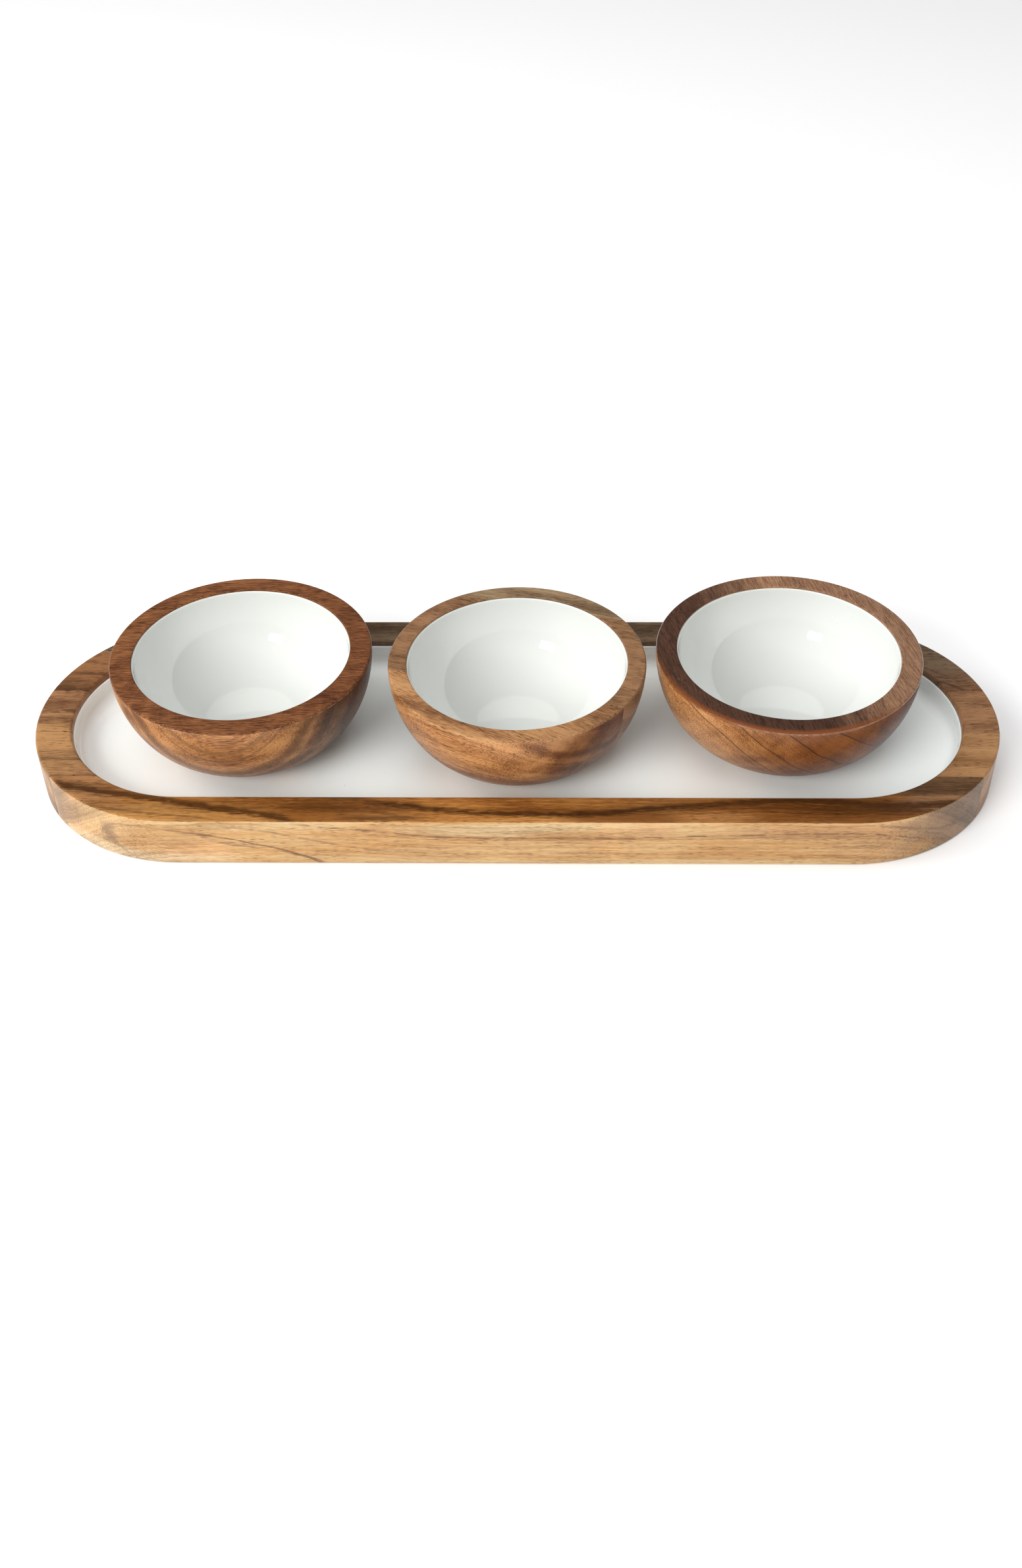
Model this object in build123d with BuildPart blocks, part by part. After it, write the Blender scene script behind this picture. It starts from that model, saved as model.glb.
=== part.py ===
# Chip and dip server: a long wooden tray with a white enamelled well, and three loose wooden
# bowls, enamelled white inside, that stand in it.
# Millimetres. +X runs along the tray, +Y to its far side, +Z up. The origin is the middle of the
# tray's underside, on the table.

import math
import os

from build123d import *

# Tray
tray_length = 600.0
tray_width = 200.0
tray_height = 34.0
rim_width = 22.7                  # the flat wooden border round the well
well_floor = 17.0                 # height of the enamelled floor that the bowls stand on
well_corner = 8.0                 # cove between the wood's wall and floor
bare_lip = 4.0                    # height of bare wood above the enamel, inside the well
outer_round = 1.6
inner_round = 2.2
under_round = 1.6
stave_joints = (-59.7, -17.7, 24.3, 66.3)
stave_names = ("front_stave", "inner_front_stave", "centre_stave", "inner_back_stave", "back_stave")

# Bowls
bowl_height = 61.0
foot_radius = 33.0                # the flat that a bowl stands on
bowl_depth = 51.0                 # from the rim to the wood under the enamel
inner_flat = 24.0                 # radius of the flat bottom inside
rim_outer_round = 1.2
rim_inner_round = 0.6
bowl_places = {                   # turned by hand, so no two are quite the same size
    "left_bowl": {"centre": (-168.0, 6.3), "rim_radius": 80.2, "mouth_radius": 66.8},
    "middle_bowl": {"centre": (1.6, -2.0), "rim_radius": 78.6, "mouth_radius": 67.3},
    "right_bowl": {"centre": (167.4, 8.4), "rim_radius": 80.8, "mouth_radius": 67.9},
}

# The middle bowl is turned from three glued blocks, whose joints run a little askew to the tray
glued_bowl = "middle_bowl"
glue_angle = -14.7                # degrees from +X
glue_joints = (-29.1, 56.6)       # distances from the bowl's axis
block_names = ("front_block", "centre_block", "back_block")

# Enamel
enamel = 0.8                      # thickness of every coat
enamel_drop = 0.5                 # from a bowl's rim down to the edge of its coat
enamel_edge_round = 0.4

well_length = tray_length - 2 * rim_width
well_width = tray_width - 2 * rim_width
rim_height = well_floor + bowl_height


def write(piece, name):
    piece.label = name
    export_step(piece, f"parts/{name}.step")


def bands(cuts, half_width):
    # the strips between successive cuts, out to the half width at both ends
    edges = (-half_width, *cuts, half_width)
    return list(zip(edges[:-1], edges[1:]))


# Tray


def fill_well(inset, top):
    # what would fill the well, drawn in by a coat's thickness from its wood, up to a given height
    with BuildPart() as filling:
        with BuildSketch(Plane.XY.offset(well_floor - enamel + inset)):
            SlotOverall(well_length - 2 * inset, well_width - 2 * inset)
        extrude(amount=top - (well_floor - enamel + inset))
        fillet(filling.edges().group_by(Axis.Z)[0], well_corner - inset)
    return filling.part


def make_tray_blank():
    # the glued-up tray, shaped and hollowed, before it is told apart into its staves
    with BuildPart() as blank:
        with BuildSketch():
            SlotOverall(tray_length, tray_width)
        extrude(amount=tray_height)
        fillet(blank.edges().group_by(Axis.Z)[-1], outer_round)
        fillet(blank.edges().group_by(Axis.Z)[0], under_round)
        add(fill_well(0, 2 * tray_height), mode=Mode.SUBTRACT)
        top_face = blank.faces().filter_by(Axis.Z).sort_by(Axis.Z)[-1]
        fillet(top_face.inner_wires()[0].edges(), inner_round)
    return blank.part


def make_stave(blank, near, far):
    with BuildPart() as stave:
        add(blank)
        with BuildSketch():
            with Locations((0, (near + far) / 2)):
                Rectangle(2 * tray_length, far - near)
        extrude(amount=2 * tray_height, mode=Mode.INTERSECT)
    return stave.part


def make_tray_enamel():
    # the coat follows the well's floor, cove and walls, and stops short of the rim
    with BuildPart() as coat:
        add(fill_well(0, tray_height - bare_lip))
        add(fill_well(enamel, 2 * tray_height), mode=Mode.SUBTRACT)
        top_face = coat.faces().filter_by(Axis.Z).sort_by(Axis.Z)[-1]
        fillet(top_face.inner_wires()[0].edges(), enamel_edge_round)
    return coat.part


# Bowls


def section_plane(centre):
    # upright plane through a bowl's axis: local x is the radius and local y the height from its rim
    return Plane(origin=(*centre, rim_height), x_dir=(1, 0, 0), z_dir=(0, -1, 0))


def turning_axis(centre):
    return Axis((*centre, 0), (0, 0, 1))


def turn_bowl(place):
    # outside and inside are both quarter ellipses, upright at the rim and level at the bottom
    centre = place["centre"]
    rim = place["rim_radius"]
    mouth = place["mouth_radius"]
    with BuildPart() as bowl:
        with BuildSketch(section_plane(centre)):
            with BuildLine():
                Line((0, -bowl_height), (foot_radius, -bowl_height))
                EllipticalCenterArc((foot_radius, 0), rim - foot_radius, bowl_height, 270, arc_size=90)
                Line((rim, 0), (mouth, 0))
                EllipticalCenterArc((inner_flat, 0), mouth - inner_flat, bowl_depth, 270, arc_size=90)
                Line((inner_flat, -bowl_depth), (0, -bowl_depth))
                Line((0, -bowl_depth), (0, -bowl_height))
            make_face()
        revolve(axis=turning_axis(centre))
        rim_edges = bowl.edges().group_by(Axis.Z)[-1].sort_by(SortBy.LENGTH)
        fillet(rim_edges[-1], rim_outer_round)
        rim_edges = bowl.edges().group_by(Axis.Z)[-1].sort_by(SortBy.LENGTH)
        fillet(rim_edges[0], rim_inner_round)
    return bowl.part


def make_block(bowl, centre, near, far):
    # the slice of a bowl between two glue joints
    turn = math.radians(glue_angle)
    along = (math.cos(turn), math.sin(turn), 0)
    with BuildPart() as block:
        add(bowl)
        with BuildSketch(Plane(origin=(*centre, 0), x_dir=along, z_dir=(0, 0, 1))):
            with Locations((0, (near + far) / 2)):
                Rectangle(4 * foot_radius + 2 * bowl_height, far - near)
        extrude(amount=2 * rim_height, mode=Mode.INTERSECT)
    return block.part


def make_bowl_enamel(place):
    centre = place["centre"]
    mouth = place["mouth_radius"]
    inner = mouth - enamel
    depth = bowl_depth - enamel
    with BuildPart() as coat:
        with BuildSketch(section_plane(centre)):
            with BuildLine():
                Line((0, -bowl_depth), (inner_flat, -bowl_depth))
                EllipticalCenterArc((inner_flat, 0), mouth - inner_flat, bowl_depth, 270, arc_size=90)
                Line((mouth, 0), (inner, 0))
                EllipticalCenterArc((inner_flat, 0), inner - inner_flat, depth, 270, arc_size=90)
                Line((inner_flat, -depth), (0, -depth))
                Line((0, -depth), (0, -bowl_depth))
            make_face()
        revolve(axis=turning_axis(centre))
        split(bisect_by=Plane.XY.offset(rim_height - rim_inner_round - enamel_drop), keep=Keep.BOTTOM)
        fillet(coat.edges().group_by(Axis.Z)[-1].sort_by(SortBy.LENGTH)[0], enamel_edge_round)
    return coat.part


os.makedirs("parts", exist_ok=True)

tray = make_tray_blank()
for stave_name, (near, far) in zip(stave_names, bands(stave_joints, tray_width)):
    write(make_stave(tray, near, far), stave_name)
write(make_tray_enamel(), "tray_enamel")

for bowl_name, place in bowl_places.items():
    bowl = turn_bowl(place)
    if bowl_name == glued_bowl:
        for block_name, (near, far) in zip(block_names, bands(glue_joints, 2 * bowl_height)):
            write(make_block(bowl, place["centre"], near, far), f"{bowl_name}_{block_name}")
    else:
        write(bowl, bowl_name)
    write(make_bowl_enamel(place), f"{bowl_name}_enamel")
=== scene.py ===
# Chip and dip server: an enamelled wooden tray and three enamelled wooden bowls.
# Lengths are metres, except in the dictionaries and wood patterns marked millimetres.
import math

import bmesh
import bpy
import numpy as np
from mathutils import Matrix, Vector


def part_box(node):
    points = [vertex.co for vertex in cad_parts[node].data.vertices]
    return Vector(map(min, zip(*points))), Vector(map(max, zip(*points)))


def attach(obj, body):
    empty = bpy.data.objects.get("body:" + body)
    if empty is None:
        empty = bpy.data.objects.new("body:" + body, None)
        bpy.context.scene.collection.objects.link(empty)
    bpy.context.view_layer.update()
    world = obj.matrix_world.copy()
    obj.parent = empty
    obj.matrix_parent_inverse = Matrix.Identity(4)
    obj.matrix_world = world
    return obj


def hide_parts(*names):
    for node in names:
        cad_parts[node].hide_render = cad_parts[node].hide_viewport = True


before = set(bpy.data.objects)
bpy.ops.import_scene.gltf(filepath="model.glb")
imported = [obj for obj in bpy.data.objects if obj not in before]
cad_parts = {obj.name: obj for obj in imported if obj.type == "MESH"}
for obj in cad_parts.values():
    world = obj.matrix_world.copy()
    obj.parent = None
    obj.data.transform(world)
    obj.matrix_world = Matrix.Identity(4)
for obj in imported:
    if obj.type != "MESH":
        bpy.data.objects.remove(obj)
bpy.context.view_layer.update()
mm = 0.001


# Shader wiring


class Wire:  # an output socket that can be added, multiplied and so on, as Math nodes
    def __init__(self, recipe, socket):
        self.recipe = recipe
        self.socket = socket

    def math(self, operation, *others):
        return self.recipe.add("ShaderNodeMath", {"operation": operation}, dict(enumerate((self, *others))))

    def __add__(self, other):
        return self.math("ADD", other)

    def __sub__(self, other):
        return self.math("SUBTRACT", other)

    def __mul__(self, other):
        return self.math("MULTIPLY", other)

    def __truediv__(self, other):
        return self.math("DIVIDE", other)

    def __rsub__(self, other):
        return self.recipe.add("ShaderNodeMath", {"operation": "SUBTRACT"}, {0: other, 1: self})

    __radd__ = __add__
    __rmul__ = __mul__


class Recipe:  # one material, built from nodes
    def __init__(self, name):
        self.material = bpy.data.materials.new(name)
        self.material.use_nodes = True
        self.tree = self.material.node_tree
        self.surface = next(n for n in self.tree.nodes if n.type == "BSDF_PRINCIPLED")

    def add(self, kind, settings=None, sockets=None, out=0):
        node = self.tree.nodes.new(kind)
        for key, value in (settings or {}).items():
            if key == "stops":
                self.setStops(node.color_ramp, value)
            else:
                setattr(node, key, value)
        self.feed(node, sockets or {})
        return Wire(self, node.outputs[out])

    def feed(self, node, sockets):
        for key, value in sockets.items():
            if isinstance(value, Wire):
                self.tree.links.new(value.socket, node.inputs[key])
            else:
                node.inputs[key].default_value = value

    def setStops(self, ramp, stops):
        while len(ramp.elements) < len(stops):
            ramp.elements.new(0.5)
        for element, (place, colour) in zip(ramp.elements, stops):
            element.position = place
            element.color = (*colour, 1)

    def between(self, value, low, high):  # 0 below low, 1 above high, smooth between
        sockets = {"Value": value, "From Min": low, "From Max": high}
        return self.add("ShaderNodeMapRange", {"interpolation_type": "SMOOTHSTEP"}, sockets)

    def within(self, value, low, high, soft):  # 1 from low to high, falling away over soft at both ends
        entered = self.between(value, low - soft, low + soft)
        return entered * (1 - self.between(value, high - soft, high + soft))

    def toned(self, value, stops):  # the colour of a tone on a colour ramp
        return self.add("ShaderNodeValToRGB", {"stops": stops}, {0: value})

    def mixColour(self, share, first, second, blend="MIX"):
        settings = {"data_type": "RGBA", "blend_type": blend, "clamp_factor": True}
        pair = {6: first, 7: second}
        for key, value in pair.items():
            pair[key] = value if isinstance(value, Wire) else (*value, 1)
        return self.add("ShaderNodeMix", settings, {0: share, **pair}, out=2)

    def split(self, vector):  # the three numbers of a vector
        parts = self.add("ShaderNodeSeparateXYZ", None, {0: vector})
        return [Wire(self, part) for part in parts.socket.node.outputs]

    def scaled(self, vector, factors):
        return self.add("ShaderNodeVectorMath", {"operation": "MULTIPLY"}, {0: vector, 1: factors})

    def noise(self, vector, scale, detail=2.0, roughness=0.5):
        sockets = {"Vector": vector, "Scale": scale, "Detail": detail, "Roughness": roughness}
        return self.add("ShaderNodeTexNoise", {"noise_dimensions": "3D"}, sockets)

    def lineNoise(self, value, scale, detail, roughness):  # noise along one number
        sockets = {"W": value, "Scale": scale, "Detail": detail, "Roughness": roughness}
        return self.add("ShaderNodeTexNoise", {"noise_dimensions": "1D"}, sockets)

    def curve(self, value, route):  # a smooth line through (value, result) points
        points = np.array(route, float)
        low = points.min(0)
        span = np.maximum(points.max(0) - low, 0.001)
        result = self.add("ShaderNodeFloatCurve", None, {"Value": (value - low[0]) / span[0]})
        mapping = result.socket.node.mapping
        dots = mapping.curves[0].points
        shares = (points - low) / span
        for share in shares[1:-1]:
            dots.new(*share)
        dots[0].location = shares[0]
        dots[len(dots) - 1].location = shares[-1]
        mapping.update()
        return result * span[1] + low[1]

    def paint(self, **sockets):  # socket names with underscores for spaces
        self.feed(self.surface, {key.replace("_", " "): value for key, value in sockets.items()})
        return self.material


# Wood


def ringsAround(pith):  # distance from the heart of the trunk, in millimetres
    def rings(along, across, up):
        side = across - pith[0]
        height = up - pith[1]
        return (side * side + height * height).math("SQRT")

    return rings


def ringsFacing(normal):  # nearly flat layers, square to a direction
    def rings(along, across, up):
        return along * normal[0] + across * normal[1] + up * normal[2]

    return rings


def shellsRound(point):  # ball-shaped layers round a knot, given in the board's own frame
    def rings(along, across, up):
        steps = [part - middle for part, middle in zip((along, across, up), point)]
        return sum((step * step for step in steps[1:]), steps[0] * steps[0]).math("SQRT")

    return rings


def streak(route, half, share, tone, over="xy", face="top", broken=0.0, fade=10):
    # a line of darker wood along a route of (first, second) coordinates of the frame, in millimetres:
    # half its width, its strength and tone, how much of it is broken off, and how far its ends fade
    def detail(wood, colour, where, fibre):
        first, second = (where[axis] for axis in over)
        ragged = (fibre - 0.5) * (half * 3.0 + 1.0) + (where["dashes"] - 0.5) * (half * 1.2)
        away = (second - wood.curve(first, route) + ragged).math("ABSOLUTE")
        reach = wood.within(first, route[0][0], route[-1][0], fade)
        amount = (1 - wood.between(away, half * 0.35, half * 1.15)) * reach * min(share * 1.2, 0.95)
        if broken:
            amount = amount * (1 - wood.between(where["dashes"], 0.48, 0.6) * broken)
        if face:
            amount = amount * where[face]
        return wood.mixColour(amount, colour, tone)

    return detail


def wallStreak(*line, **more):
    return streak(*line, over="xz", face="wall", **more)


def patch(centre, size, share, tone, over="xy", face="top"):  # a soft oval of wood in another tone
    def detail(wood, colour, where, fibre):
        shades = ramp(*([part * factor for part in tone] for factor in (1.5, 1.0, 0.5)))
        shade = wood.toned(where["tone"], shades)
        first = (where[over[0]] - centre[0]) * (1 / size[0])
        second = (where[over[1]] - centre[1]) * (1 / size[1])
        away = (first * first + second * second).math("SQRT") + (where["cloud"] - 0.5) * 1.6
        amount = (1 - wood.between(away, 0.3, 1.1)) * share
        if face:
            amount = amount * where[face]
        return wood.mixColour(amount, colour, shade)

    return detail


def wallPatch(*oval):
    return patch(*oval, over="xz", face="wall")


def layerLines(lines, tone):  # dark layers at given ring distances: distance, half thickness, strength
    def detail(wood, colour, where, fibre):
        for distance, half, share in lines:
            away = (where["rings"] - distance + (fibre - 0.5) * half).math("ABSOLUTE")
            amount = (1 - wood.between(away, half * 0.2, half)) * share
            colour = wood.mixColour(amount, colour, tone)
        return colour

    return detail


def makeWood(name, look, *details):
    wood = Recipe(name)
    place = wood.add("ShaderNodeTexCoord", out="Object")
    # the board's own frame in millimetres: x along the grain
    frameOfBoard = {
        "Vector": place,
        "Location": look["centre"],
        "Rotation": [math.radians(angle) for angle in look["grain"]],
        "Scale": (mm, mm, mm),
    }
    board = wood.add("ShaderNodeMapping", {"vector_type": "TEXTURE"}, frameOfBoard)
    along, across, up = wood.split(board)
    seed = look["seed"]
    apart = [seed * step for step in (37.0, 11.0, 5.0)]  # every board reads another part of the noise
    shifted = wood.add("ShaderNodeVectorMath", {"operation": "ADD"}, {0: board, 1: apart})

    def grainNoise(size, detail=2.0, roughness=0.5):  # noise drawn out along the grain: length and width
        length, width = size
        return wood.noise(wood.scaled(shifted, (1 / length, 1 / width, 1 / width)), 1.0, detail, roughness)

    wander = (grainNoise(look["wobbleSize"], 1.5) - 0.5) * (2 * look["wobble"])
    ripple = (grainNoise(look["rippleSize"]) - 0.5) * look["ripple"]
    rings = look["rings"](along, across, up) + wander + ripple

    broad = wood.lineNoise(rings + seed * 53.0, 1 / look["band"], 2.0, 0.55) - 0.5
    fine = wood.lineNoise(rings + seed * 17.0, 1 / (look["band"] * look["fineBand"]), 1.0, 0.5) - 0.5
    fibre = grainNoise(look["fibreSize"], 3.0, 0.7)
    cloud = grainNoise(look["cloudSize"])
    dashes = grainNoise(look["dashSize"], 1.0)
    drifts = grainNoise(look["driftSize"], 1.5)
    tone = 0.5 + broad * look["broad"] + fine * look["fine"] * (cloud + 0.5)
    tone = tone + (fibre - 0.5) * look["fibre"] + (cloud - 0.5) * look["cloud"]
    colour = wood.toned(tone, look["heart"])

    where = dict(zip("xyz", (part / mm for part in wood.split(place))))
    where.update({"rings": rings, "cloud": cloud, "dashes": dashes, "drifts": drifts, "tone": tone})
    for detail in (*look["details"], *details):
        colour = detail(wood, colour, where, fibre)

    # open pores: short dashes along the grain, one in each chosen cell
    length, width = look["poreSize"]
    inCells = {"Vector": wood.scaled(shifted, (1 / length, 1 / width, 1 / width)), "Scale": 1.0}
    cells = wood.add("ShaderNodeTexVoronoi", {"voronoi_dimensions": "3D"}, inCells)
    chosen = wood.add("ShaderNodeSeparateColor", None, {0: Wire(wood, cells.socket.node.outputs["Color"])})
    patchy = wood.between(grainNoise(look["poreClusters"]), 0.3, 0.7) * 0.7 + 0.3
    pore = (1 - wood.between(cells, 0.2, 0.4)) * wood.between(chosen, 0.35, 0.45) * patchy
    dark = wood.mixColour(1.0, colour, look["poreTint"], "MULTIPLY")
    colour = wood.mixColour(pore * look["pore"], colour, dark)

    height = (fibre - 0.5) * 0.6 - pore
    relief = {"Height": height, "Strength": look["bump"], "Distance": look["bumpDepth"] * mm}
    return wood.paint(
        Base_Color=colour,
        Roughness=look["rough"] + pore * 0.2 + (fibre - 0.5) * 0.16,
        Normal=wood.add("ShaderNodeBump", None, relief),
        Specular_IOR_Level=look["shine"],
        Coat_Weight=where.get("coat", look["coat"]),
        Coat_Roughness=look["coatRough"],
        IOR=1.5,
    )


def ramp(light, middle, dark):  # the three tones of a board, from pale to dark layers
    return [(0.3, light), (0.5, middle), (0.7, dark)]


plain = {  # what every board has unless it says otherwise, in millimetres
    "centre": (0, 0, 0),
    "grain": (0, 0, 0),
    "wobble": 3.0,  # how far the layers wander, and over what length and width
    "wobbleSize": (150, 38),
    "ripple": 1.2,
    "rippleSize": (34, 9),
    "band": 12.0,  # thickness of a broad layer, and of a fine one as a share of it
    "fineBand": 0.13,
    "broad": 0.7,
    "fine": 0.3,
    "fibre": 1.35,
    "fibreSize": (10, 0.42),
    "cloud": 0.8,
    "cloudSize": (60, 12),
    "dashSize": (9, 3),
    "driftSize": (85, 7),
    "pore": 0.95,
    "poreSize": (6.0, 0.72),
    "poreClusters": (30, 6),
    "poreTint": (0.3, 0.22, 0.16),
    "bump": 0.35,
    "bumpDepth": 0.12,
    "rough": 0.42,
    "shine": 0.3,
    "coat": 0.08,
    "coatRough": 0.15,
    "details": (),
}


# Shapes


def line(start, end, steps):  # straight stretch of a profile, without its last point
    share = np.linspace(0, 1, steps, endpoint=False)[:, None]
    return np.asarray(start) * (1 - share) + np.asarray(end) * share


def arc(centre, size, startAngle, endAngle, steps):  # part of an ellipse, in degrees, without its last point
    turn = np.radians(np.linspace(startAngle, endAngle, steps, endpoint=False))
    return np.asarray(centre) + np.stack([size[0] * np.cos(turn), size[1] * np.sin(turn)], 1)


def stadiumPath(halfStraight, straightSteps, endSteps):
    # spine and outward direction round two half circles joined by straights, anticlockwise from front left
    straight = np.linspace(-halfStraight, halfStraight, straightSteps, endpoint=False)
    turn = np.linspace(-90, 90, endSteps, endpoint=False)
    front = np.full(straightSteps, -90)
    angles = np.radians(np.concatenate([front, turn, -front, turn + 180]))
    end = np.full(endSteps, halfStraight)
    spineX = np.concatenate([straight, end, -straight, -end])
    spine = np.stack([spineX, np.zeros(len(spineX))], 1)
    return spine, np.stack([np.cos(angles), np.sin(angles)], 1)


def circlePath(centre, steps):
    turn = np.linspace(0, 2 * np.pi, steps, endpoint=False)
    return np.tile(centre, (steps, 1)), np.stack([np.cos(turn), np.sin(turn)], 1)


def carry(name, profile, path, lift=0.0):
    # a profile carried round a path:
    # point(u, v) = spine(u) + radius(v) * outward(u), at the height height(v) + lift(u, v)
    spine, outward = path
    flat = spine[:, None, :] + profile[None, :, 0:1] * outward[:, None, :]
    high = np.broadcast_to(profile[None, :, 1:2], (*flat.shape[:2], 1)) + lift
    points = np.concatenate([flat, high], 2) * mm
    aroundSteps, profileSteps = points.shape[:2]
    index = np.arange(aroundSteps * profileSteps).reshape(aroundSteps, profileSteps)
    following = np.roll(index, -1, 0)
    quads = np.stack([index[:, :-1], following[:, :-1], following[:, 1:], index[:, 1:]], 2).reshape(-1, 4)
    mesh = bpy.data.meshes.new(name)
    mesh.from_pydata(points.reshape(-1, 3).tolist(), [], quads.tolist())
    piece = bpy.data.objects.new(name, mesh)
    bpy.context.scene.collection.objects.link(piece)
    return piece


def finishMesh(piece, cuts=()):
    # merges the poles and the seam, cuts off what lies beyond each plane, closes the cut and smooths
    shape = bmesh.new()
    shape.from_mesh(piece.data)
    bmesh.ops.remove_doubles(shape, verts=shape.verts, dist=0.002 * mm)
    for point, outwards in cuts:
        everything = shape.verts[:] + shape.edges[:] + shape.faces[:]
        cut = bmesh.ops.bisect_plane(
            shape, geom=everything, dist=0.001 * mm, plane_co=point, plane_no=outwards, clear_outer=True
        )
        rim = [e for e in cut["geom_cut"] if isinstance(e, bmesh.types.BMEdge)]
        bmesh.ops.triangle_fill(shape, edges=rim, use_beauty=False, normal=outwards)
    bmesh.ops.recalc_face_normals(shape, faces=shape.faces)
    shape.to_mesh(piece.data)
    shape.free()
    piece.data.shade_smooth()
    return piece


def smoothWave(turn, seed, size):  # sum of a few slow waves round a turned edge
    rng = np.random.default_rng(seed)
    waves = np.arange(2, 12)
    phases = rng.uniform(0, 2 * np.pi, len(waves))
    heights = rng.uniform(0.4, 1.0, len(waves)) / np.sqrt(waves)
    return size * (np.cos(turn[:, None] * waves + phases) * heights).sum(1) / heights.sum()


def settle(piece, material, body, slot, *nodes):  # paints a piece, hangs it on its body and hides the parts it replaces
    piece.data.materials.append(material)
    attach(piece, body)
    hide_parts(*nodes)


# Tray

tray = {  # millimetres
    "rimWidth": 22.7,
    "outerRound": 1.6,
    "innerRound": 2.2,
    "underRound": 1.6,
    "cove": 8.0,
    "coat": 0.8,
    "floor": 17.0,
    "bareLip": 4.0,
    "straightSteps": 100,
    "endSteps": 120,
}
staveNames = ("front_stave", "inner_front_stave", "centre_stave", "inner_back_stave", "back_stave")
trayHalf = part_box("front_stave")[0].y / -mm
trayLength = (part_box("centre_stave")[1].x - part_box("centre_stave")[0].x) / mm
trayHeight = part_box("front_stave")[1].z / mm
wellHalf = trayHalf - tray["rimWidth"]
halfStraight = trayLength / 2 - trayHalf
print("tray", round(trayLength), round(2 * trayHalf), round(trayHeight))


def trayProfile():  # (radius, height) from the middle of the underside, out, over the rim and into the well
    outer, inner, under, cove = (tray[key] for key in ("outerRound", "innerRound", "underRound", "cove"))
    bed = tray["floor"] - tray["coat"]
    return np.concatenate([
        line((0, 0), (trayHalf - under, 0), 12),
        arc((trayHalf - under, under), (under, under), -90, 0, 6),
        line((trayHalf, under), (trayHalf, trayHeight - outer), 8),
        arc((trayHalf - outer, trayHeight - outer), (outer, outer), 0, 90, 8),
        line((trayHalf - outer, trayHeight), (wellHalf + inner, trayHeight), 8),
        arc((wellHalf + inner, trayHeight - inner), (inner, inner), 90, 180, 8),
        line((wellHalf, trayHeight - inner), (wellHalf, bed + cove), 4),
        arc((wellHalf - cove, bed + cove), (cove, cove), 0, -90, 8),
        line((wellHalf - cove, bed), (0, bed), 10),
        [(0, bed)],
    ])


def enamelProfile():  # from the middle of the coat's back, out, up the wall, over its edge and back on top
    coat, cove = tray["coat"], tray["cove"]
    bed = tray["floor"] - coat
    top = trayHeight - tray["bareLip"]
    inner = wellHalf - coat
    return np.concatenate([
        line((0, bed), (wellHalf - cove, bed), 10),
        arc((wellHalf - cove, bed + cove), (cove, cove), -90, 0, 10),
        line((wellHalf, bed + cove), (wellHalf, top), 4),
        arc((wellHalf, top - coat), (coat, coat), 90, 180, 8),
        line((inner, top - coat), (inner, bed + cove), 4),
        arc((wellHalf - cove, bed + cove), (cove - coat, cove - coat), 0, -90, 10),
        line((wellHalf - cove, bed + coat), (0, bed + coat), 14),
        [(0, bed + coat)],
    ])


def makeTray():  # each stave is the whole tray's surface cut off at its two joints
    path = stadiumPath(halfStraight, tray["straightSteps"], tray["endSteps"])
    for number, node in enumerate(staveNames):
        low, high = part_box(node)
        cuts = []
        if number > 0:
            cuts.append(((0, low.y, 0), (0, -1, 0)))
        if number < len(staveNames) - 1:
            cuts.append(((0, high.y, 0), (0, 1, 0)))
        stave = finishMesh(carry(f"tray_{node}", trayProfile(), path), cuts)
        settle(stave, makeWood(f"{node}_wood", staveLooks[node], glueLines), "tray", "tray_wood", node)
    coat = finishMesh(carry("tray_enamel_coat", enamelProfile(), path))
    settle(coat, makeEnamel("tray_enamel_white", "tray"), "tray", "tray_enamel", "tray_enamel")


# Bowls

turned = {  # millimetres
    "footRadius": 33.0,
    "depth": 51.0,
    "innerFlat": 24.0,
    "outerRound": 1.3,
    "innerRound": 0.7,
    "coat": 0.8,
    "coatDrop": 0.5,
    "unevenCoat": 0.22,
    "unevenDepth": 6.0,
    "steps": 240,
}
glue = {"angle": -14.7, "joints": (-29.1, 56.6), "blocks": ("front_block", "centre_block", "back_block")}
bowlNodes = {
    "left_bowl": ("left_bowl",),
    "middle_bowl": tuple(f"middle_bowl_{block}" for block in glue["blocks"]),
    "right_bowl": ("right_bowl",),
}


def bowlPlace(name):  # centre, rim and mouth radius, foot and rim height of a bowl, read from the frame
    boxes = [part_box(node) for node in bowlNodes[name]]
    low = np.min([list(box[0]) for box in boxes], 0) / mm
    high = np.max([list(box[1]) for box in boxes], 0) / mm
    coatLow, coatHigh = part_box(f"{name}_enamel")
    centre = np.array([coatLow.x + coatHigh.x, coatLow.y + coatHigh.y]) / (2 * mm)
    return {
        "centre": centre,
        "rim": max(high[0] - centre[0], centre[0] - low[0]),
        "mouth": (coatHigh.x - coatLow.x) / (2 * mm),
        "foot": low[2],
        "top": high[2],
    }


def bowlProfile(place):  # quarter ellipses outside and inside, from under the foot to the hollow's middle
    rim, mouth, foot, top = (place[key] for key in ("rim", "mouth", "foot", "top"))
    outer, inner, flat, depth = (turned[key] for key in ("outerRound", "innerRound", "innerFlat", "depth"))
    footRadius = turned["footRadius"]
    return np.concatenate([
        line((0, foot), (footRadius, foot), 8),
        arc((footRadius, top), (rim - footRadius, top - foot), -90, -math.degrees(outer / (top - foot)), 56),
        arc((rim - outer, top - outer), (outer, outer), 0, 90, 8),
        line((rim - outer, top), (mouth + inner, top), 8),
        arc((mouth + inner, top - inner), (inner, inner), 90, 180, 6),
        arc((flat, top), (mouth - flat, depth), -math.degrees(2 * inner / depth), -90, 40),
        line((flat, top - depth), (0, top - depth), 8),
        [(0, top - depth)],
    ])


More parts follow.
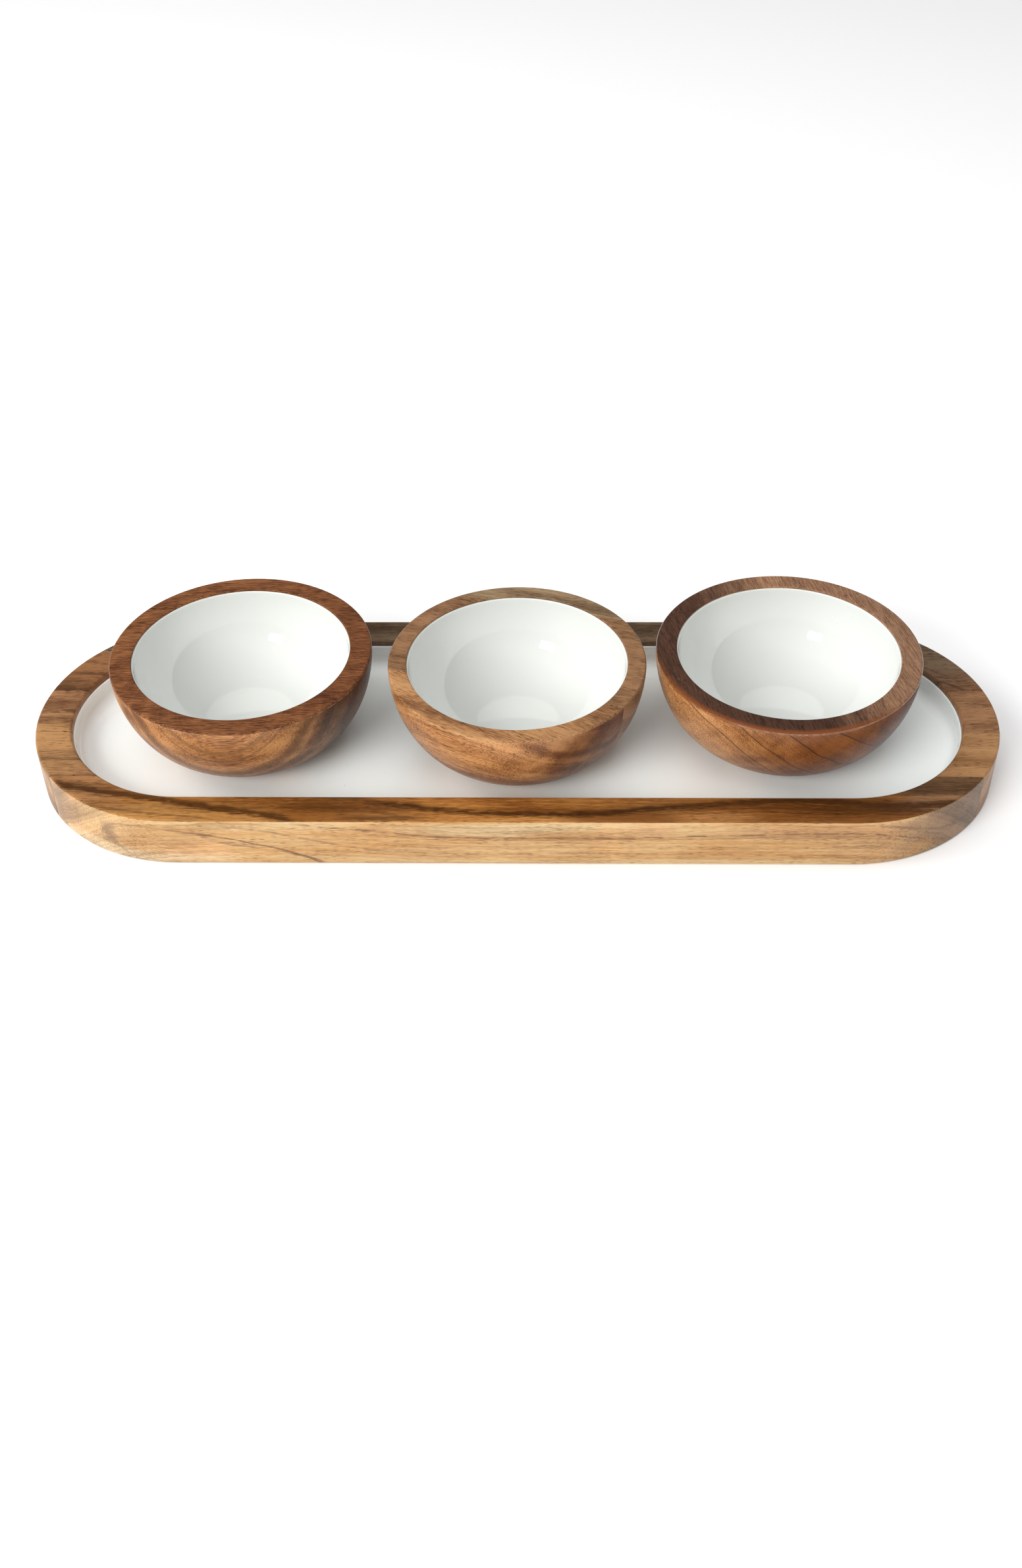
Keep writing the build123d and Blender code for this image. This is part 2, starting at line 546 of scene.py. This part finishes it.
def liningProfile(place):  # from the middle of the coat's back, up to its edge and down the glossy side
    mouth, top = place["mouth"], place["top"]
    coat, flat, depth = turned["coat"], turned["innerFlat"], turned["depth"]
    edge = math.degrees(math.asin((turned["innerRound"] + turned["coatDrop"]) / depth))
    edgeHeight = top - turned["innerRound"] - turned["coatDrop"]
    return np.concatenate([
        line((0, top - depth), (flat, top - depth), 8),
        arc((flat, top), (mouth - flat, depth), -90, -edge, 40),
        arc((mouth, edgeHeight - coat), (coat, coat), 90, 180, 8),
        arc((flat, top), (mouth - flat - coat, depth - coat), -edge * 2, -90, 56),
        line((flat, top - depth + coat), (0, top - depth + coat), 10),
        [(0, top - depth + coat)],
    ])


def glueCuts(centre, number):  # planes at both sides of one block of the glued bowl
    turn = math.radians(glue["angle"])
    across = np.array([-math.sin(turn), math.cos(turn)])
    cuts = []
    for edge, sign in ((number - 1, -1), (number, 1)):
        if 0 <= edge < len(glue["joints"]):
            point = (centre + across * glue["joints"][edge]) * mm
            cuts.append(((*point, 0), (*(sign * across), 0)))
    return cuts


def makeBowl(name, seed):  # each block is the whole bowl's surface cut off at its glue lines
    place = bowlPlace(name)
    path = circlePath(place["centre"], turned["steps"])
    nodes = bowlNodes[name]
    for number, node in enumerate(nodes):
        cuts = glueCuts(place["centre"], number) if len(nodes) > 1 else ()
        wood = finishMesh(carry(f"{node}_wood", bowlProfile(place), path), cuts)
        finish = {**bowlLooks[node](place), "centre": (*place["centre"] * mm, 0)}
        grain = makeWood(f"{node}_grain", finish, rimEdgeHighlight(place))
        settle(wood, grain, name, "bowl_wood", node)
    profile = liningProfile(place)
    # only the coat's edge is uneven
    reach = turned["unevenDepth"]
    nearEdge = np.clip((profile[:, 1] - place["top"] + reach) / reach, 0, 1)
    turn = np.linspace(0, 2 * np.pi, turned["steps"], endpoint=False)
    lift = smoothWave(turn, seed, turned["unevenCoat"])[:, None, None] * nearEdge[None, :, None]
    lining = finishMesh(carry(f"{name}_lining", profile, path, lift))
    settle(lining, makeEnamel(f"{name}_white", "bowl"), name, "bowl_enamel", f"{name}_enamel")
    print(name, [round(float(value), 1) for value in place["centre"]], "rim", round(place["rim"], 1))


# Finishes of each piece

enamel = {  # colours where the coat is thin and where it has pooled; scales are per metre
    # the bowls' white coat is painted greyer so that it does not glare under the lamps: painted shade over
    # the whole lining
    "bowl": ((0.63, 0.65, 0.61), (0.69, 0.705, 0.68)),
    # the same white coat is painted lighter and greener in the tray: painted light that lifts the shade
    # under the bowls and cancels the warm light thrown back by the wood
    "tray": ((0.90, 0.94, 0.92), (0.92, 0.955, 0.935)),
    "speck": (0.5, 0.45, 0.38),
    "poolScale": 9.0,
    "speckScale": 420.0,
    "waveScale": 26.0,
    "waveHeight": 0.5,  # millimetres
}


def makeEnamel(name, kind):
    coat = Recipe(name)
    place = coat.add("ShaderNodeTexCoord", out="Object")
    pooled = coat.noise(place, enamel["poolScale"])
    specks = coat.between(coat.noise(place, enamel["speckScale"], 1.0), 0.77, 0.8)
    colour = coat.mixColour(pooled, *enamel[kind])
    colour = coat.mixColour(specks * 0.25, colour, enamel["speck"])
    waves = coat.noise(place, enamel["waveScale"], 1.5, 0.45)
    relief = {"Height": waves, "Strength": 0.35, "Distance": enamel["waveHeight"] * mm}
    return coat.paint(
        Base_Color=colour,
        Roughness=0.05 + pooled * 0.03,
        Normal=coat.add("ShaderNodeBump", None, relief),
        IOR=1.55,
        Coat_Weight=0.7,
    )


def trayFaces(wood, colour, where, fibre):  # tells the flat top from the walls, for the streaks
    where["top"] = wood.between(where["z"] + (fibre - 0.5) * 0.25, trayHeight - 0.9, trayHeight - 0.5)
    where["wall"] = 1 - where["top"]
    return colour


def paleWall(tones, warmTones):  # the sapwood side of the front board, cream with warmer drifts
    def detail(wood, colour, where, fibre):
        calm = (where["tone"] - 0.5) * 0.85 + 0.5
        middle = wood.between(where["z"], 2, 8) * (1 - wood.between(where["z"], 22, 29))
        warmth = wood.between(where["drifts"], 0.4, 0.62) * 0.5 + middle * 0.35
        pale = wood.mixColour(warmth, wood.toned(calm, tones), wood.toned(calm, warmTones))
        return wood.mixColour(where["wall"], colour, pale)

    return detail


def band(low, high, share, tone, soft=1.5, reach=None, face=None):
    # a layer of another tone between two lines: low and high are its y at the left end and at the right end
    def detail(wood, colour, where, fibre):
        rightwards = where["x"] * (1 / trayLength) + 0.5
        y = where["y"] + (fibre - 0.5) * 1.6 + (where["cloud"] - 0.5) * 5.0
        lower = low[0] + rightwards * (low[1] - low[0])
        upper = high[0] + rightwards * (high[1] - high[0])
        amount = wood.between(y - lower, -soft, soft) * (1 - wood.between(y - upper, -soft, soft)) * share
        if reach:
            amount = amount * wood.within(where["x"], *reach, 20)
        if face:
            amount = amount * where[face]
        return wood.mixColour(amount, colour, wood.toned(where["tone"], tone))

    return detail


def glueLines(wood, colour, where, fibre):  # dark hairlines where the staves meet
    for joint in staveJoints:
        away = (where["y"] - joint).math("ABSOLUTE")
        colour = wood.mixColour((1 - wood.between(away, 0.05, 0.3)) * 0.5, colour, (0.04, 0.018, 0.01))
    return colour


def fromCentre(place, where):  # x and y from a bowl's middle
    return [where[axis] - float(middle) for axis, middle in zip("xy", place["centre"])]


def rimTone(place, tones, share):  # the flat rim is darker and more even than the side
    def detail(wood, colour, where, fibre):
        top = wood.between(where["z"] + (fibre - 0.5) * 0.6, place["top"] - 1.7, place["top"] - 0.7)
        even = wood.toned((where["tone"] - 0.5) * 0.5 + (fibre - 0.5) * 1.2 + 0.5, tones)
        return wood.mixColour(top * share, colour, even)

    return detail


def edgeHighlight(place, facing, reach, tone):  # a painted highlight: a warm orange line near the rim's outer edge, on one side
    def detail(wood, colour, where, fibre):
        x, y = fromCentre(place, where)
        radius = (x * x + y * y).math("SQRT") + (fibre - 0.5) * 1.5
        low = place["top"] - 2.6
        share = wood.between(radius, place["rim"] - 4.0, place["rim"] - 1.2)
        share = share * wood.between(where["z"], low, low + 0.9)
        share = share * wood.between(x * facing[0] + y * facing[1], *reach)
        return wood.mixColour(share * 0.75, colour, tone)

    return detail


def lacquer(place, rimCoat, sideCoat):  # a thick gloss on the rim, thinner on the side
    def detail(wood, colour, where, fibre):
        low = place["top"] - 3.0
        where["coat"] = wood.between(where["z"], low, low + 1.5) * (rimCoat - sideCoat) + sideCoat
        return colour

    return detail


def sideShadeAndTone(place, facing, reach, tint, above=None):  # one side of a bowl, or of its rim only, is darker: painted shade on the side turned away from the lamps, partly the wood's own darker tone
    def detail(wood, colour, where, fibre):
        x, y = fromCentre(place, where)
        side = x * facing[0] + y * facing[1] + (where["cloud"] - 0.5) * 30 + (fibre - 0.5) * 6
        amount = wood.between(side, *reach)
        if above:
            amount = amount * wood.between(where["z"], above, above + 1)
        return wood.mixColour(amount, colour, wood.mixColour(1.0, colour, tint, "MULTIPLY"))

    return detail


def rimEdgeHighlight(place):  # a painted highlight: a thin pale line on the rim's rounded outer edge, broken into dashes
    def detail(wood, colour, where, fibre):
        near = (where["z"] - (place["top"] - 1.3)).math("ABSOLUTE")
        glintDashes = wood.between(where["dashes"], 0.5, 0.62)
        return wood.mixColour((1 - wood.between(near, 0.1, 0.5)) * glintDashes * 0.3, colour, (0.5, 0.34, 0.2))

    return detail


def look(**own):
    return {**plain, **own}


greyHeart = ramp((0.20, 0.132, 0.075), (0.135, 0.087, 0.048), (0.065, 0.036, 0.018))
redHeart = ramp((0.30, 0.135, 0.055), (0.20, 0.078, 0.03), (0.10, 0.036, 0.013))
goldHeart = ramp((0.52, 0.255, 0.095), (0.36, 0.15, 0.048), (0.17, 0.062, 0.02))
brightHeart = ramp((0.62, 0.31, 0.115), (0.43, 0.19, 0.062), (0.2, 0.078, 0.026))
deepHeart = ramp((0.44, 0.20, 0.055), (0.30, 0.12, 0.026), (0.14, 0.045, 0.008))
endHeart = ramp((0.33, 0.165, 0.075), (0.235, 0.11, 0.048), (0.11, 0.046, 0.018))
paleGrey = ramp((0.30, 0.20, 0.11), (0.215, 0.14, 0.075), (0.115, 0.065, 0.034))
tanSap = ramp((0.40, 0.215, 0.09), (0.32, 0.16, 0.062), (0.22, 0.10, 0.036))
darkBand = ramp((0.14, 0.072, 0.032), (0.09, 0.044, 0.018), (0.05, 0.022, 0.009))
creamSap = ramp((0.60, 0.42, 0.215), (0.50, 0.32, 0.145), (0.34, 0.185, 0.075))
warmSap = ramp((0.58, 0.345, 0.135), (0.46, 0.24, 0.08), (0.30, 0.135, 0.038))
redRim = ramp((0.235, 0.086, 0.029), (0.135, 0.045, 0.016), (0.05, 0.016, 0.006))
goldRim = ramp((0.42, 0.24, 0.11), (0.31, 0.16, 0.068), (0.13, 0.056, 0.023))
brownRim = ramp((0.27, 0.145, 0.07), (0.19, 0.10, 0.047), (0.09, 0.04, 0.018))
roseRim = ramp((0.34, 0.19, 0.11), (0.25, 0.135, 0.078), (0.13, 0.06, 0.03))

staveJoints = [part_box(node)[1].y / mm for node in staveNames[:-1]]
eyeLine = [(3, -226), (8, -234), (14, -239), (20, -241), (25, -237)]
upperLine = [
    (-124, 31), (-107, 28.7), (-94, 27.5), (-72, 25), (-52, 22.4), (-21, 21), (27, 21.2), (70, 21.2),
    (112, 23), (137, 23.6), (189, 25), (205, 24.8), (220, 22), (238, 15), (252, 8), (262, 2),
]
lowerLine = [
    (-167, 29), (-151, 27), (-134, 23), (-118, 19), (-94, 13.2), (-72, 10.2), (-41, 8.6), (-10, 8.2),
    (27, 9), (80, 8.5), (160, 8), (205, 8),
]
darkLayer = [
    (-85, -83), (-59, -87), (-4, -93), (43, -93.2), (75, -88.7), (112, -85.7), (131, -83.4),
    (176, -81.2), (200, -83.5), (217, -85.5), (241, -84.4), (266, -79),
]
leavingLayer = [
    (-276, -66), (-251, -73), (-225, -78), (-200, -83), (-178, -88), (-145, -94.5), (-128, -100),
]
frontFigure = (
    trayFaces,
    paleWall(creamSap, warmSap),
    # the wall: a knot's eye at the left, lines falling away to the right, a darker right end
    wallPatch((-200, 14), (40, 9), 0.5, (0.50, 0.25, 0.10)),
    wallPatch((55, 18), (14, 16), 0.4, (0.55, 0.29, 0.11)),
    wallPatch((-250, 18), (50, 34), 0.6, (0.40, 0.25, 0.115)),
    wallPatch((-272, 22), (18, 22), 0.8, (0.33, 0.19, 0.09)),
    wallPatch((-228, 4), (60, 7), 0.6, (0.47, 0.36, 0.23)),
    wallPatch((178, 26), (58, 10), 0.65, (0.35, 0.165, 0.06)),
    wallPatch((80, 27), (16, 7), 0.5, (0.4, 0.21, 0.09)),
    wallPatch((-10, 27), (75, 8), 0.6, (0.43, 0.315, 0.175)),
    wallPatch((-80, 27), (14, 6), 0.5, (0.4, 0.2, 0.08)),
    wallPatch((215, 14), (40, 26), 0.5, (0.36, 0.19, 0.08)),
    wallPatch((268, 18), (46, 44), 0.95, (0.19, 0.11, 0.06)),
    streak([(9, -238), (16, -241), (25, -240)], 5.5, 0.6, (0.2, 0.115, 0.06), "zx", "wall", fade=4),
    streak(eyeLine, 2.0, 0.4, (0.22, 0.125, 0.065), "zx", "wall", fade=3),
    wallStreak(
        [(-237, 25), (-225, 27.5), (-212, 28), (-200, 26), (-178, 22)], 0.9, 0.6, (0.24, 0.12, 0.055),
        broken=0.5,
    ),
    wallStreak(
        [(-187, 24.5), (-180, 20.5), (-167, 16), (-152, 14)], 1.9, 0.6, (0.2, 0.095, 0.045),
        broken=0.6, fade=5,
    ),
    wallStreak(
        [(-190, 25), (-170, 20.5), (-156, 17), (-134, 10.5), (-124, 6.4), (-114, 1)], 0.8, 0.75,
        (0.16, 0.075, 0.035), broken=0.2, fade=4,
    ),
    wallStreak([(-136, 10.5), (-124, 6), (-112, 1)], 1.5, 0.6, (0.17, 0.085, 0.04), broken=0.3, fade=3),
    wallStreak(lowerLine, 1.0, 0.55, (0.26, 0.135, 0.06), broken=0.7),
    wallStreak(
        [(-150, 31), (-120, 26), (-90, 20), (-60, 16), (-30, 14.5), (60, 14)], 0.6, 0.35,
        (0.32, 0.17, 0.075), broken=0.6,
    ),
    wallStreak(upperLine, 0.9, 0.75, (0.19, 0.09, 0.04), broken=0.75),
    wallStreak(
        [(-60, 20.5), (-21, 19.4), (27, 19.6), (110, 20.5), (190, 23.4), (216, 22)], 0.5, 0.6,
        (0.25, 0.12, 0.05), broken=0.5,
    ),
    streak([(2, -275), (16, -276), (32, -272)], 3.2, 0.55, (0.2, 0.125, 0.07), "zx", "wall", fade=8),
    wallStreak([(215, 31), (235, 24), (252, 17), (268, 12)], 1.2, 0.5, (0.16, 0.085, 0.04), broken=0.3),
    # the top: one dark layer that leaves at the left and a second that wanders along the rest
    patch((-200, -95), (85, 14), 0.8, (0.28, 0.135, 0.038)),
    patch((-275, -72), (55, 26), 0.85, (0.22, 0.105, 0.04)),
    patch((-112, -92), (46, 20), 0.9, (0.13, 0.042, 0.006)),
    patch((60, -95), (46, 9), 0.85, (0.11, 0.036, 0.006)),
    patch((190, -90), (125, 26), 0.92, (0.1, 0.032, 0.005)),
    patch((122, -94), (26, 7), 0.75, (0.26, 0.115, 0.038)),
    patch((262, -76), (48, 22), 0.8, (0.2, 0.10, 0.045)),
    patch((-85, -92), (45, 12), 0.5, (0.17, 0.065, 0.014)),
    streak(leavingLayer, 3.6, 0.85, (0.06, 0.021, 0.004), fade=6),
    streak(
        [(-225, -80), (-180, -83), (-120, -86), (-90, -90), (-60, -97)], 1.6, 0.4, (0.10, 0.04, 0.01),
        broken=0.4,
    ),
    streak([(-260, -84), (-215, -93), (-180, -97)], 1.0, 0.5, (0.09, 0.04, 0.012), broken=0.6),
    streak([(-100, -97.5), (-55, -97)], 2.2, 0.7, (0.10, 0.04, 0.01)),
    streak(darkLayer, 3.0, 0.95, (0.045, 0.015, 0.003), broken=0.15),
    streak([(195, -84), (225, -86), (262, -80)], 3.6, 0.6, (0.06, 0.022, 0.006), broken=0.3),
    streak([(-110, -79), (-90, -79.5)], 2.4, 0.6, (0.07, 0.03, 0.008)),
    band((-76, -76), (-58, -58), 0.9, darkBand, 1.0, (225, 400), "top"),
)
leftLines = [  # dark layers that cross the left end: y, how far they bend, half width, strength
    streak(
        [(-300, y - 1), (-284, y + 0.8), (-262, y - bend), (-200, y - bend * 2)], half, share,
        (0.07, 0.03, 0.013), broken=0.6, fade=20,
    )
    for y, bend, half, share in (
        (1.5, 0.5, 2.2, 0.6), (12, 1, 1.2, 0.4), (25, 1, 2.6, 0.7),
        (33, 3, 1.2, 0.45), (41, 1, 1.8, 0.55), (54, 3, 1.4, 0.5),
    )
]
rightStreaks = [
    streak(route, half, share, (0.06, 0.03, 0.016), face=None, broken=0.3)
    for route, half, share in (
        ([(190, 62), (225, 50), (262, 38), (290, 20)], 1.6, 0.6),
        ([(200, 78), (240, 62), (275, 40)], 1.1, 0.5),
    )
]
tanBands = (
    trayFaces,
    band((-34, -61), (-9, -17), 0.9, tanSap),
    band((-61, -61), (-58, -60), 0.6, darkBand, 0.8),
    band((-17, -17), (-9, -12), 0.35, redHeart, 1.0, (-400, 0)),
    patch((-286, -36), (40, 46), 0.85, (0.26, 0.135, 0.052), face=None),
)
backFigure = (
    trayFaces,
    patch((-280, 42), (75, 70), 0.85, (0.155, 0.066, 0.024), face=None),
    patch((276, 52), (50, 36), 0.75, (0.10, 0.06, 0.036), face=None),
    band((66, 44), (120, 120), 0.75, greyHeart, 4.0),
    *leftLines,
    *rightStreaks,
)
staveLooks = {
    "front_stave": look(
        seed=1, rings=ringsFacing((0, 0.8, 0.6)), heart=deepHeart, wobble=5.0, fibre=1.05, cloud=0.6,
        pore=0.7, details=frontFigure,
    ),
    "inner_front_stave": look(
        seed=2, rings=ringsAround((-10, -60)), heart=endHeart, wobble=2.0, details=tanBands
    ),
    "centre_stave": look(
        seed=3, rings=ringsAround((10, -80)), heart=endHeart, details=(*tanBands, *leftLines)
    ),
    "inner_back_stave": look(seed=4, rings=ringsAround((60, -70)), heart=endHeart, details=backFigure),
    "back_stave": look(seed=5, rings=ringsAround((60, 90)), heart=greyHeart, details=backFigure),
}
knotLayers = [(36, 2.4, 0.55), (41, 1.6, 0.4), (54, 4.5, 0.6), (66, 3, 0.25)]
flatLayers = [(11, 0.7, 0.75), (25, 0.6, 0.8), (42, 0.7, 0.85), (60, 0.6, 0.7)]
bowlLooks = {  # each is worked out for the place of its bowl
    "left_bowl": lambda place: look(
        seed=6, rings=shellsRound((-3, -60, 92)), heart=goldHeart, wobble=3.5, broad=0.45, fine=0.2,
        fibre=1.5, band=9,
        details=(
            layerLines(knotLayers, (0.10, 0.042, 0.016)),
            sideShadeAndTone(place, (0.94, 0.1), (12, 58), (0.27, 0.24, 0.22)),
            rimTone(place, redRim, 0.9),
        ),
    ),
    "middle_bowl_front_block": lambda place: look(
        seed=7, grain=(0, 0, -30), rings=ringsAround((-20, 120)), heart=goldHeart, wobble=4.0, cloud=0.7,
        fibre=1.5, pore=1.0,
        details=(
            sideShadeAndTone(place, (0.85, -0.4), (25, 72), (0.3, 0.21, 0.16)),
            rimTone(place, goldRim, 0.6),
        ),
    ),
    "middle_bowl_centre_block": lambda place: look(
        seed=8, grain=(0, 0, glue["angle"]), rings=ringsAround((10, 140)), heart=endHeart,
        details=(rimTone(place, brownRim, 0.7),),
    ),
    "middle_bowl_back_block": lambda place: look(
        seed=9, grain=(0, 0, glue["angle"]), rings=ringsAround((100, 140)), heart=paleGrey
    ),
    "right_bowl": lambda place: look(
        seed=10, grain=(0, 0, -77.9), rings=ringsFacing((0, 0.65, 0.76)), heart=brightHeart, wobble=4.0,
        broad=0.35, fine=0.2, cloud=0.5, fibre=1.6, poreSize=(4, 0.6), coatRough=0.04,
        details=(
            layerLines(flatLayers, (0.05, 0.022, 0.01)),
            sideShadeAndTone(place, (1.0, -0.3), (-50, 30), (0.42, 0.28, 0.14)),
            sideShadeAndTone(place, (1.0, -0.1), (35, 80), (0.5, 0.4, 0.35)),
            rimTone(place, roseRim, 0.85),
            # on the right bowl's rim only: a painted dark reflection, darker at the glossy rim's front left
            sideShadeAndTone(place, (-0.9, -0.45), (-40, 25), (0.24, 0.19, 0.19), place["top"] - 1.2),
            edgeHighlight(place, (-0.3, -0.95), (20, 66), (0.19, 0.052, 0.009)),
            lacquer(place, 0.9, 0.12),
        ),
    ),
}


# Studio

studio = {  # metres and watts
    "floor": (0.93, 0.93, 0.93),
    "floorReach": 30.0,
    "sky": 0.6,
    "skyInReflections": 0.1,
    "camera": (0.01896, -0.79818, 0.67252),
    "cameraTurn": (48.8958, 0.7036, 0.9856),
    "lens": 37.45,
    "aim": (0, 0, 0.04),
    "lamps": {  # a lamp without gloss lights but has no reflection, one without diffuse is only a reflection
        "window": {"place": (-1.45, -2.0, 1.5), "size": (1.5, 1.2), "power": 62, "gloss": False},
        "left": {"place": (-2.3, 0.3, 1.6), "size": (1.6, 1.6), "power": 34, "gloss": False},
        "top": {"place": (0.0, -0.3, 2.8), "size": (2.4, 2.4), "power": 26, "gloss": False},
        "pane": {"place": (-1.5, -2.1, 1.35), "size": (0.75, 0.55), "power": 4.5, "diffuse": False},
    },
}


def makeFloor():
    mesh = bpy.data.meshes.new("studio_floor")
    reach = studio["floorReach"]
    corners = [(-reach, -reach, 0), (reach, -reach, 0), (reach, reach, 0), (-reach, reach, 0)]
    mesh.from_pydata(corners, [], [(0, 1, 2, 3)])
    floor = bpy.data.objects.new("studio_floor", mesh)
    bpy.context.scene.collection.objects.link(floor)
    paper = Recipe("studio_paper")
    mesh.materials.append(paper.paint(Base_Color=(*studio["floor"], 1), Roughness=0.9))


def makeLamps():
    aim = Vector(studio["aim"])
    for name, lamp in studio["lamps"].items():
        light = bpy.data.lights.new(f"{name}_lamp", "AREA")
        light.shape = "RECTANGLE"
        light.size, light.size_y = lamp["size"]
        light.energy = lamp["power"]
        holder = bpy.data.objects.new(f"{name}_lamp", light)
        holder.location = lamp["place"]
        holder.visible_glossy = lamp.get("gloss", True)
        holder.visible_diffuse = lamp.get("diffuse", True)
        holder.rotation_euler = (aim - holder.location).to_track_quat("-Z", "Y").to_euler()
        bpy.context.scene.collection.objects.link(holder)
    world = bpy.data.worlds.new("studio_room")
    world.use_nodes = True
    background = world.node_tree.nodes["Background"]
    background.inputs["Color"].default_value = (1, 1, 1, 1)
    # the room lights evenly but is dim in reflections, like a dark studio round a lit table
    ray = world.node_tree.nodes.new("ShaderNodeLightPath")
    dim = world.node_tree.nodes.new("ShaderNodeMapRange")
    dim.inputs["To Min"].default_value = studio["sky"]
    dim.inputs["To Max"].default_value = studio["skyInReflections"]
    world.node_tree.links.new(ray.outputs["Is Glossy Ray"], dim.inputs["Value"])
    world.node_tree.links.new(dim.outputs["Result"], background.inputs["Strength"])
    bpy.context.scene.world = world


def makeCamera():
    camera = bpy.data.cameras.new("studio_camera")
    camera.lens = studio["lens"]
    holder = bpy.data.objects.new("studio_camera", camera)
    holder.location = studio["camera"]
    holder.rotation_euler = [math.radians(angle) for angle in studio["cameraTurn"]]
    bpy.context.scene.collection.objects.link(holder)
    bpy.context.scene.camera = holder
    bpy.context.scene.view_settings.view_transform = "Standard"


makeFloor()
makeLamps()
makeCamera()
print("studio ready")
makeTray()
print("tray ready")
for seed, name in enumerate(bowlNodes):
    makeBowl(name, seed)
print("bowls ready")
